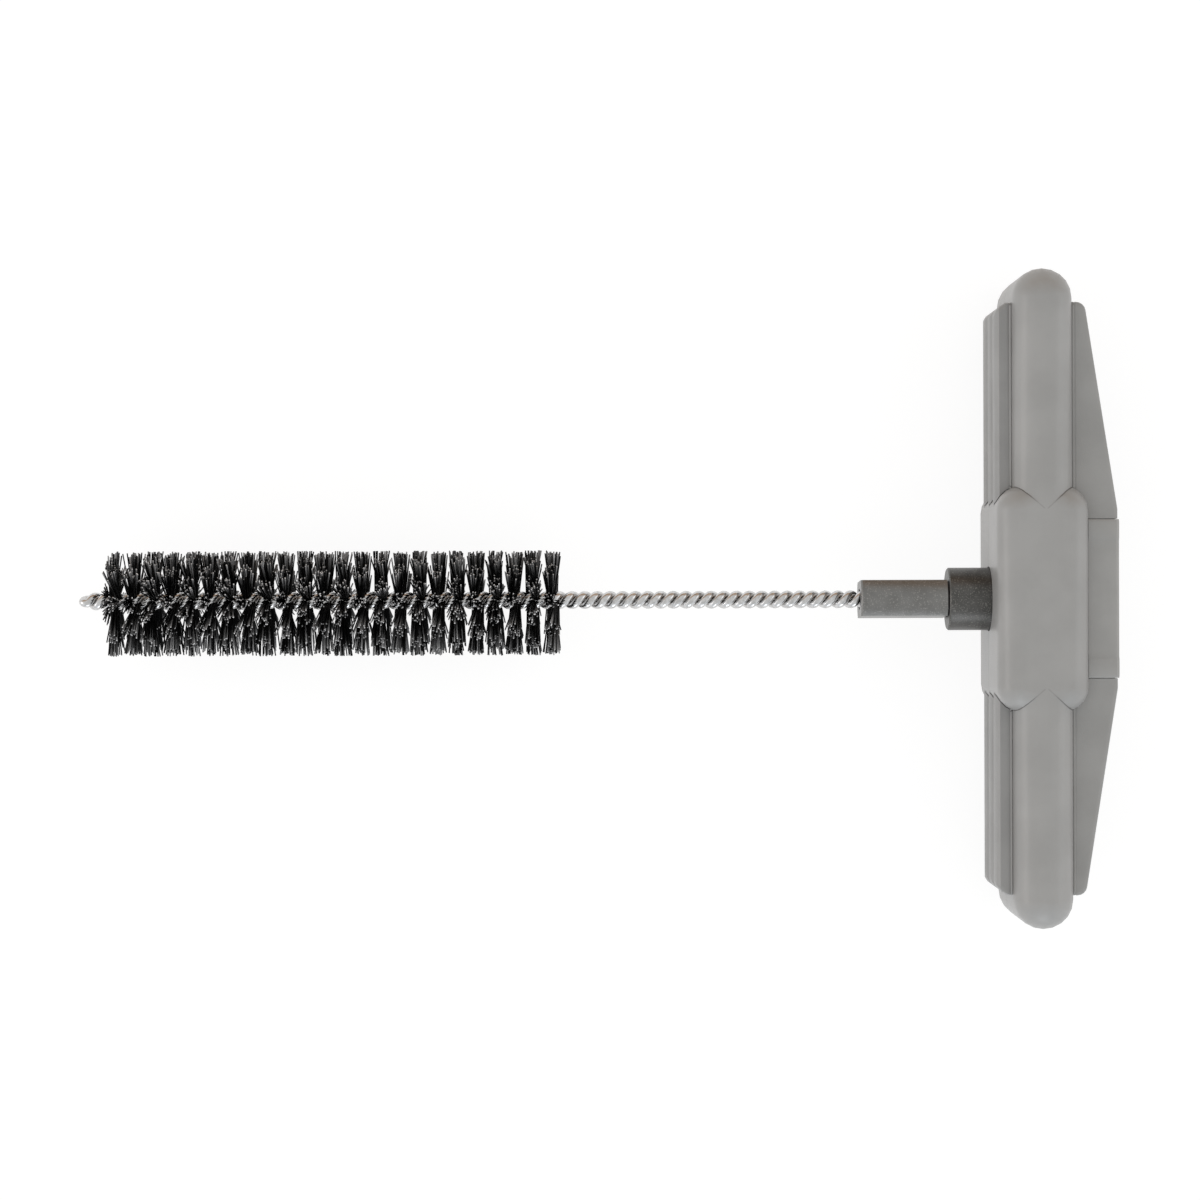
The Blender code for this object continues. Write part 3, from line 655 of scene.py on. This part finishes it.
@dataclass
class SocketGroup:
    """The loose collar, the socket and its thread.

    Attributes:
        thread_radius: The thread's radius at its crests.
        core_radius: The radius of the stud that carries it.
        pitch: How far the thread climbs in a turn.
        thread_length: How much of the stud is threaded.
        plain_end: From the stud's end to the thread.
        root_share: Half the ridge's width at its root, as a share of the pitch.
        crest_share: Its crest's width as a share of its root's.
        steps_per_turn: How many sections a turn has.
        finishes: The finish of each CAD piece by name.
    """

    thread_radius: float = 2.96 * MM
    core_radius: float = 2.68 * MM
    pitch: float = 1.0 * MM
    thread_length: float = 15.0 * MM
    plain_end: float = 0.3 * MM
    root_share: float = 0.42
    crest_share: float = 0.2
    steps_per_turn: int = 48
    finishes: dict[str, Finish] = field(default_factory=lambda: {
        "collar": Finishes.COLLAR,
        "wire_socket": Finishes.SOCKET,
    })

    def dress(self) -> None:
        """Gives the two CAD pieces their finish."""
        dress_nodes(self.finishes)

    def build_thread(self) -> bpy.types.Object:
        """Winds a rolled thread's ridge on the socket's stud.

        Returns:
            The ridge, which rides on the brush.
        """
        low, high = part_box("wire_socket")
        centre = (low[2] + high[2]) / 2
        end = high[0] - self.plain_end
        count = int(self.thread_length / self.pitch * self.steps_per_turn)
        shares = np.linspace(0, 1, count + 1)
        angles = shares * self.thread_length / self.pitch * math.tau
        xs = end - shares * self.thread_length
        runout = np.clip(np.minimum(shares, 1 - shares) * count / self.steps_per_turn, 0, 1)
        root = self.pitch * self.root_share
        crest = root * self.crest_share
        section = ((-root, 0.0), (-crest, 1.0), (crest, 1.0), (root, 0.0))
        points = []
        for along, height in section:
            reach = self.core_radius + height * (self.thread_radius - self.core_radius) * runout
            ys, zs = reach * np.cos(angles), centre + reach * np.sin(angles)
            points.append(np.column_stack([xs + along, ys, zs]))
        rings = np.stack(points, axis=1).reshape(-1, 3)
        faces = tube_faces(count + 1, len(section))
        piece = mesh_piece("stud_thread", rings, faces, Body.BRUSH)
        piece.data.materials.append(Finishes.THREAD.material())
        return piece


@dataclass
class TwistedWire:
    """The stem: a bright wire, folded at its tip and twisted left-handed till its strands touch.

    Attributes:
        wire_radius: The wire's radius.
        offset: How far each strand's middle is from the stem's axis.
        lead: How far along the stem the strands make a full turn.
        tip_lead: The same in the tighter stretch behind the fold.
        tip_twist: How long that stretch is.
        bare_length: From the socket to the fill.
        bunch_step: From one bunch of the fill to the next, as a share of the lead.
        first_angle: The first strand's direction at the middle of the bunch nearest the socket.
        start_length: The stretch over which the twist starts at the fold.
        end_length: The stretch over which it stops in the socket.
        points_per_turn: How many points a turn of each strand has.
        fold_points: How many points the fold has.
        angle_points: At how many places the twist is worked out.
        sides: How many sides the wire has.
        least_tone: The tone of the strands' outer sides, which the sides between them exceed.
    """

    wire_radius: float = 0.74 * MM
    offset: float = 0.77 * MM
    lead: float = 4.25 * MM
    tip_lead: float = 3.8 * MM
    tip_twist: float = 6.4 * MM
    bare_length: float = 50 * MM
    bunch_step: float = 0.75
    first_angle: float = math.radians(-75)
    start_length: float = 0.3 * MM
    end_length: float = 2.0 * MM
    points_per_turn: int = 24
    fold_points: int = 10
    angle_points: int = 8000
    sides: int = 14
    least_tone: float = 0.2

    def __post_init__(self) -> None:
        """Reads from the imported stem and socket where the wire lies, and works out its twist."""
        low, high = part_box("wire_stem")
        socket_low, socket_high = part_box("wire_socket")
        self.back: float = high[0]
        self.height: float = (socket_low[2] + socket_high[2]) / 2
        self.bunch_pitch: float = self.lead * self.bunch_step
        self.first_bunch: float = socket_low[0] - self.bare_length - self.bunch_pitch / 2
        start = low[0] + self.offset + self.wire_radius
        self.places: np.ndarray = np.linspace(start, self.back, self.angle_points)
        begun = self.smooth((self.places - start) / self.start_length)
        past_tip = self.smooth((self.places - start - self.tip_twist) / self.end_length)
        going = self.smooth((self.back - 2 * self.wire_radius - self.places) / self.end_length)
        turns = (1 - past_tip) / self.tip_lead + past_tip / self.lead
        rates = -math.tau * turns * begun * going
        steps = (rates[1:] + rates[:-1]) / 2 * np.diff(self.places)
        angles = np.concatenate([[0], np.cumsum(steps)])
        at_bunch = np.interp(self.first_bunch, self.places, angles)
        self.angles: np.ndarray = angles - at_bunch + self.first_angle

    @staticmethod
    def smooth(value: np.ndarray) -> np.ndarray:
        """Rises smoothly from 0 to 1 as the value does."""
        share = np.clip(value, 0, 1)
        return share * share * (3 - 2 * share)

    def angle(self, place: np.ndarray) -> np.ndarray:
        """Gives the first strand's direction at places along X, from +Y towards +Z."""
        return np.interp(place, self.places, self.angles)

    def strand(self, side: float) -> np.ndarray:
        """Follows one strand from the fold to the socket.

        Args:
            side: 1 for the first strand and -1 for the second.

        Returns:
            The points of its middle line.
        """
        turns = (self.back - self.places[0]) / self.lead
        xs = np.linspace(self.places[0], self.back, int(turns * self.points_per_turn))
        reach, angles = side * self.offset, self.angle(xs)
        return np.column_stack([xs, reach * np.cos(angles), self.height + reach * np.sin(angles)])

    def build(self) -> bpy.types.Object:
        """Bends and twists the wire.

        Returns:
            The wire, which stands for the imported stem.
        """
        half_turn = np.linspace(0, math.pi, self.fold_points + 2)[1:-1]
        across = self.offset * np.cos(half_turn)
        fold = np.column_stack([
            self.places[0] - self.offset * np.sin(half_turn),
            across * math.cos(self.angles[0]),
            self.height + across * math.sin(self.angles[0]),
        ])
        line = np.concatenate([self.strand(1)[::-1], fold, self.strand(-1)])
        points = sweep(line, np.full(len(line), self.wire_radius), self.sides)
        faces = tube_faces(len(line), self.sides)
        piece = mesh_piece("twisted_wire", points, faces, Body.BRUSH)
        from_axis = np.hypot(points[:, 1], points[:, 2] - self.height)
        inward = np.clip(1 - from_axis / (self.offset + self.wire_radius), 0, 1)
        add_tones(piece, self.least_tone + (1 - self.least_tone) * inward)
        piece.data.materials.append(Finishes.WIRE.material())
        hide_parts("wire_stem")
        return piece


@dataclass
class BristleFill:
    """The nylon filaments, in ring bunches of tufts that the strands hold at their middles.

    Attributes:
        wire: The twisted wire that holds them.
        bunches: How many bunches there are.
        tufts: How many tufts a bunch has along the wire.
        tuft_step: From one tuft's root to the next.
        tuft_width: How wide a tuft's roots spread along the wire, as a share of that.
        root_reach: From the stem's axis to the filaments' starts.
        per_side: How many filaments a tuft has on each side of the wire.
        reach: From the stem's axis to the filaments' ends.
        trim: How much shorter the shortest are.
        trim_power: How few of them are much shorter.
        sag: How far the fill's outside hangs off the wire's middle, towards -Y.
        radius: A filament's radius.
        fan_along: How far the ends spread along the stem nearest the socket.
        tip_fan_along: The same nearest the tip.
        last_fan_along: The same for the last bunch alone.
        fan_round: How far the ends spread round it.
        crowding: How much the ends crowd to the fan's middle, less for a smaller number.
        splay: How early a filament leaves its root's line, from 0 to 1.
        head_share: How far out the point is that a filament first heads for, as a share.
        head_scatter: How far these points are strewn along the stem.
        strays: The share of the last bunch that is short and leans towards the tip.
        stray_reach: How long the strays are, as shares of the others' length.
        lean: How far the strays' ends are from their bunch's middle, at the least and the most.
        sides: How many sides a filament has.
        ring_shares: Where along a filament its rings of vertices are.
        tones: The least and most tone of a filament's end, which greys its outer part as painted
            light.
        round_up_to: The sharpest edge that is shaded as round.
        seed: The start of the random draws.
    """

    wire: TwistedWire
    bunches: int = 24
    tufts: int = 5
    tuft_step: float = 0.425 * MM
    tuft_width: float = 0.8
    root_reach: float = 0.1 * MM
    per_side: int = 26
    reach: float = 8.85 * MM
    trim: float = 0.85 * MM
    trim_power: int = 2
    sag: float = 0.45 * MM
    radius: float = 0.115 * MM
    fan_along: float = 1.5 * MM
    tip_fan_along: float = 1.75 * MM
    last_fan_along: float = 1.2 * MM
    fan_round: float = math.radians(11)
    crowding: float = 0.6
    splay: float = 0.8
    head_share: float = 0.28
    head_scatter: float = 0.2 * MM
    strays: float = 0.14
    stray_reach: Range = (0.22, 0.46)
    lean: Range = (1.2 * MM, 2.0 * MM)
    sides: int = 5
    ring_shares: tuple[float, ...] = (0.0, 0.3, 1.0)
    tones: Range = (0.25, 1.0)
    round_up_to: float = math.radians(80)
    seed: int = 7

    def ends(self) -> Filaments:
        """Draws where each filament starts, heads and ends.

        Returns:
            The start, a point that it heads for and the end of each filament.
        """
        draw = np.random.default_rng(self.seed)
        rows = []
        for bunch in range(self.bunches):
            centre = self.wire.first_bunch - bunch * self.wire.bunch_pitch
            last = self.bunches - 1
            spread = self.fan_along + (self.tip_fan_along - self.fan_along) * bunch / last
            fan, strays = (self.last_fan_along, self.strays) if bunch == last else (spread, 0.0)
            for tuft in range(self.tufts):
                shift = (tuft - (self.tufts - 1) / 2) * self.tuft_step
                for side in (0.0, math.pi):
                    rows.append(self.tuft_rows(draw, centre, shift, side, fan, strays))
        starts, heads, tips = (np.concatenate(part) for part in zip(*rows))
        return starts, heads, tips

    def tuft_rows(
        self,
        draw: np.random.Generator,
        centre: float,
        shift: float,
        side: float,
        fan: float,
        strays: float,
    ) -> Filaments:
        """Draws the filaments of one side of one tuft.

        Args:
            draw: The random draws.
            centre: The bunch's place along X.
            shift: The tuft's root from there.
            side: 0 for one way out of the wire and pi for the other.
            fan: How far their ends spread along the stem.
            strays: The share of them that is short and leans towards the tip.

        Returns:
            Their starts, points that they head for and ends.
        """
        count = self.per_side
        roots = centre + shift + draw.uniform(-0.5, 0.5, count) * self.tuft_step * self.tuft_width
        way = self.wire.angle(centre + shift) + math.pi / 2 + side
        root_way = self.wire.angle(roots) + math.pi / 2 + side
        disc_angle = draw.uniform(0, math.tau, count)
        disc = draw.uniform(0, 1, count) ** self.crowding
        round_shift = disc * np.sin(disc_angle) * self.fan_round
        along_shift = disc * np.cos(disc_angle) * fan
        stray = draw.uniform(0, 1, count) < strays
        reach = self.reach - self.trim * draw.uniform(0, 1, count) ** self.trim_power
        reach = reach * np.where(stray, draw.uniform(*self.stray_reach, count), 1)
        end_x = centre + np.where(stray, -draw.uniform(*self.lean, count), along_shift)
        starts = self.place(roots, np.full(count, self.root_reach), root_way)
        scatter = draw.uniform(-self.head_scatter, self.head_scatter, count)
        head_x = roots + (end_x - roots) * self.splay + scatter
        heads = self.place(head_x, reach * self.head_share, way + round_shift * self.splay)
        tips = self.place(end_x, reach, way + round_shift) - (0, self.sag, 0)
        return starts, heads, tips

    def place(self, x: np.ndarray, reach: np.ndarray, way: np.ndarray) -> np.ndarray:
        """Turns places along and round the stem into points."""
        return np.column_stack([x, reach * np.cos(way), self.wire.height + reach * np.sin(way)])

    def build(self) -> bpy.types.Object:
        """Makes every filament as a bent tube with a cut end.

        Returns:
            The fill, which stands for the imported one.
        """
        starts, heads, tips = self.ends()
        shares = np.array(self.ring_shares)[:, None, None]
        rest = 1 - shares
        lines = starts * rest ** 2 + heads * 2 * shares * rest + tips * shares ** 2
        ways = (tips - starts) / np.linalg.norm(tips - starts, axis=1, keepdims=True)
        across = np.cross(ways, (1.0, 0.0, 0.0))
        across /= np.linalg.norm(across, axis=1, keepdims=True)
        up = np.cross(ways, across)
        turns = np.linspace(0, math.tau, self.sides, endpoint=False)[:, None, None]
        section = np.cos(turns) * across + np.sin(turns) * up
        points = (lines[:, None] + section * self.radius).transpose(2, 0, 1, 3).reshape(-1, 3)
        rings = len(self.ring_shares)
        faces = []
        for number in range(len(starts)):
            faces += tube_faces(rings, self.sides, number * rings * self.sides)
        piece = mesh_piece("nylon_fill", points, faces, Body.BRUSH, self.round_up_to)
        piece.data.materials.append(Finishes.NYLON.material())
        piece.data.materials.append(Finishes.CUT_END.material())
        kinds = np.zeros((len(starts), len(faces) // len(starts)), np.int32)
        kinds[:, -1] = 1
        piece.data.polygons.foreach_set("material_index", kinds.ravel())
        # The tone rises from each root to a random end tone: painted light on the outer ends and
        # painted shade at the roots.
        tones = np.random.default_rng(self.seed + 1).uniform(*self.tones, len(starts))
        add_tones(piece, (tones[:, None] * np.repeat(self.ring_shares, self.sides)).ravel())
        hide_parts("bristle_fill")
        return piece


@dataclass(frozen=True)
class Softbox:
    """A large soft lamp.

    Attributes:
        name: The lamp's name.
        place: Where it hangs.
        width: How wide its square face is.
        colour: Its light's colour.
        power: Its power in watts.
    """

    name: str
    place: Point
    width: float
    colour: Colour
    power: float

    def hang(self, target: Point) -> None:
        """Hangs the lamp.

        Args:
            target: The point that it faces.
        """
        data = bpy.data.lights.new(self.name, "AREA")
        data.size = self.width
        data.color = self.colour
        data.energy = self.power
        lamp = bpy.data.objects.new(self.name, data)
        lamp.location = self.place
        way = Vector(target) - Vector(self.place)
        lamp.rotation_euler = way.to_track_quat("-Z", "Y").to_euler()
        bpy.context.scene.collection.objects.link(lamp)


@dataclass(frozen=True)
class DomeTint:
    """A part of the dome with a colour of its own.

    Attributes:
        axis: The axis along which the part lies.
        spread: The places along it, from -1 to 1, between which its share changes.
        shares: The colour's share at these two places.
        colour: Its colour.
    """

    axis: str
    spread: Range
    shares: Range
    colour: Colour


@dataclass
class Studio:
    """The pale floor, the soft light all round and the camera at the photograph's angle.

    Attributes:
        target_x: Where along X the camera is aimed.
        distance: From the camera to the object's middle plane.
        clip_start: The least distance that the camera sees.
        height: The middle plane's height over the floor.
        field_width: How wide the middle plane's part of the picture is.
        roll: How far the photograph leans.
        floor_size: The floor's width.
        floor_colour: The floor's colour where it throws light on the brush.
        shown_colour: Its colour in the picture, which keeps the shadow faint.
        shown_glow: How much white light is added to that.
        lamps: The softboxes at the brush's tip, below it and at the palm rest.
        dome_strength: How bright the light all round is.
        dome_colour: Its colour where no tint changes it.
        dome_tints: The tints, warmer at the top, cooler below and darker right above the brush.
    """

    target_x: float = -72.96 * MM
    distance: float = 516.5 * MM
    clip_start: float = 10 * MM
    height: float = MID_DEPTH
    field_width: float = 201.6 * MM
    roll: float = math.radians(-0.17)
    floor_size: float = 6.0
    floor_colour: Colour = (0.8, 0.8, 0.8)
    shown_colour: Colour = (0.2, 0.2, 0.2)
    shown_glow: float = 0.86
    lamps: tuple[Softbox, ...] = (
        Softbox("tip_softbox", (-1.95, -0.1, 0.22), 0.9, (1.0, 0.94, 0.92), 4.6),
        Softbox("lower_softbox", (-0.1, -2.0, 0.34), 0.9, (0.92, 0.96, 1.0), 6.0),
        Softbox("palm_softbox", (1.9, 0.1, 0.7), 0.9, (0.92, 0.96, 1.0), 1.6),
    )
    dome_strength: float = 1.05
    dome_colour: Colour = (1.1, 1.1, 1.1)
    dome_tints: tuple[DomeTint, ...] = (
        DomeTint("Y", (0.1, 0.75), (0.0, 1.0), (0.5, 0.35, 0.24)),
        DomeTint("Y", (-0.8, -0.2), (1.0, 0.0), (0.9, 0.93, 0.97)),
        DomeTint("Z", (0.36, 0.72), (0.0, 1.0), (0.785, 0.785, 0.777)),
    )

    def place_camera(self) -> None:
        """Looks straight down on the brush as it lies on its back."""
        data = bpy.data.cameras.new("camera")
        data.lens = data.sensor_width * self.distance / self.field_width
        data.clip_start = self.clip_start
        camera = bpy.data.objects.new("camera", data)
        camera.location = (self.target_x, 0, self.height + self.distance)
        camera.rotation_euler = (0, 0, self.roll)
        bpy.context.scene.collection.objects.link(camera)
        bpy.context.scene.camera = camera

    @staticmethod
    def seen_share(tree: NodeTree) -> Socket:
        """Tells the rays that show the background from those that only light things.

        Args:
            tree: The nodes of the floor or the world.

        Returns:
            A socket that is 1 for camera, glossy and transmission rays.
        """
        rays = tree.add("LightPath").outputs
        share = tree.maths("MAXIMUM", rays["Is Camera Ray"], rays["Is Glossy Ray"])
        return tree.maths("MAXIMUM", share, rays["Is Transmission Ray"])

    def lay_floor(self) -> None:
        """Lays a pale floor that shows white and keeps the shadow."""
        half = self.floor_size / 2
        corners = [(-half, -half, 0), (half, -half, 0), (half, half, 0), (-half, half, 0)]
        mesh = bpy.data.meshes.new("floor")
        mesh.from_pydata(corners, [], [(0, 1, 2, 3)])
        floor = bpy.data.objects.new("floor", mesh)
        bpy.context.scene.collection.objects.link(floor)
        material = bpy.data.materials.new("pale_floor")
        material.use_nodes = True
        tree = NodeTree(material.node_tree)
        plain = tree.feed(tree.add("BsdfDiffuse"), Color=(*self.floor_colour, 1))
        seen = tree.feed(tree.add("BsdfDiffuse"), Color=(*self.shown_colour, 1))
        glow = tree.feed(tree.add("Emission"), Color=(1, 1, 1, 1), Strength=self.shown_glow)
        both = tree.add("AddShader")
        tree.links.new(seen.outputs[0], both.inputs[0])
        tree.links.new(glow.outputs[0], both.inputs[1])
        pick = tree.add("MixShader")
        tree.links.new(self.seen_share(tree), pick.inputs[0])
        tree.links.new(plain.outputs[0], pick.inputs[1])
        tree.links.new(both.outputs[0], pick.inputs[2])
        tree.links.new(pick.outputs[0], tree.add("OutputMaterial").inputs["Surface"])
        mesh.materials.append(material)

    def light(self) -> None:
        """Lights the brush from the soft dome with its tints and from the lamps."""
        world = bpy.data.worlds.new("dome")
        bpy.context.scene.world = world
        world.use_nodes = True
        tree = NodeTree(world.node_tree)
        way = tree.add("TexCoord").outputs["Generated"]
        split = tree.feed(tree.add("SeparateXYZ"), Vector=way)
        dome = self.dome_colour
        for tint in self.dome_tints:
            share = tree.rescale(split.outputs[tint.axis], tint.spread, tint.shares)
            dome = tree.blend(share, dome, tint.colour)
        lit = tree.feed(tree.add("Background"), Color=dome, Strength=self.dome_strength)
        white = tree.feed(tree.add("Background"), Color=(1, 1, 1, 1), Strength=1.0)
        path = tree.add("LightPath")
        pick = tree.add("MixShader")
        tree.links.new(path.outputs["Is Camera Ray"], pick.inputs[0])
        tree.links.new(lit.outputs[0], pick.inputs[1])
        tree.links.new(white.outputs[0], pick.inputs[2])
        tree.links.new(pick.outputs[0], tree.add("OutputWorld").inputs["Surface"])
        for lamp in self.lamps:
            lamp.hang((self.target_x, 0, self.height))

    def set_up(self) -> None:
        """Puts up the camera, the floor and the light."""
        self.place_camera()
        self.lay_floor()
        self.light()
        bpy.context.scene.view_settings.view_transform = "Standard"


def round_shading(mesh: bpy.types.Mesh, angle: float) -> None:
    """Shades a faceted surface as the round one that it stands for, without moving a vertex.

    Args:
        mesh: A mesh of triangles.
        angle: The most that facets of one round surface turn from each to the next.
    """
    count = len(mesh.polygons)
    ways = np.empty(count * 3)
    areas = np.empty(count)
    corners = np.empty(count * 3, np.int32)
    places = np.empty(len(mesh.vertices) * 3)
    mesh.polygons.foreach_get("normal", ways)
    mesh.polygons.foreach_get("area", areas)
    mesh.loops.foreach_get("vertex_index", corners)
    mesh.vertices.foreach_get("co", places)
    ways = np.repeat(ways.reshape(-1, 3), 3, axis=0)
    weights = np.repeat(areas, 3)
    keys = np.round(places.reshape(-1, 3)[corners] / SAME_PLACE).astype(np.int64)
    groups = np.unique(keys, axis=0, return_inverse=True)[1].ravel()
    order = np.argsort(groups, kind="stable")
    smooth = np.empty_like(ways)
    for group in np.split(order, np.cumsum(np.bincount(groups))[:-1]):
        near = ways[group] @ ways[group].T > math.cos(angle)
        smooth[group] = near @ (ways[group] * weights[group, None])
    smooth /= np.linalg.norm(smooth, axis=1, keepdims=True)
    mesh.shade_smooth()
    mesh.normals_split_custom_set(smooth.tolist())


def dress_nodes(finishes: dict[str, Finish]) -> None:
    """Gives CAD pieces their finish.

    Args:
        finishes: The finish of each node by name.
    """
    made: dict[Finish, bpy.types.Material] = {}
    for name, finish in finishes.items():
        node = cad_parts[name]
        if finish not in made:
            made[finish] = finish.material()
        for slot in node.material_slots:
            slot.material = made[finish]
        round_shading(node.data, finish.round_up_to)
        LOG.info("%s wears %s", name, finish.name)


def main() -> None:
    """Builds and dresses the brush group by group, then puts up the studio."""
    logging.basicConfig(level=logging.INFO, format="%(message)s")
    handle = HandleGroup()
    handle.dress()
    socket = SocketGroup()
    socket.dress()
    wire = TwistedWire()
    fill = BristleFill(wire)
    for piece in (*handle.build_rims(), socket.build_thread(), wire.build(), fill.build()):
        LOG.info("%s has %d faces", piece.name, len(piece.data.polygons))
    Studio().set_up()


if __name__ == "__main__":
    main()
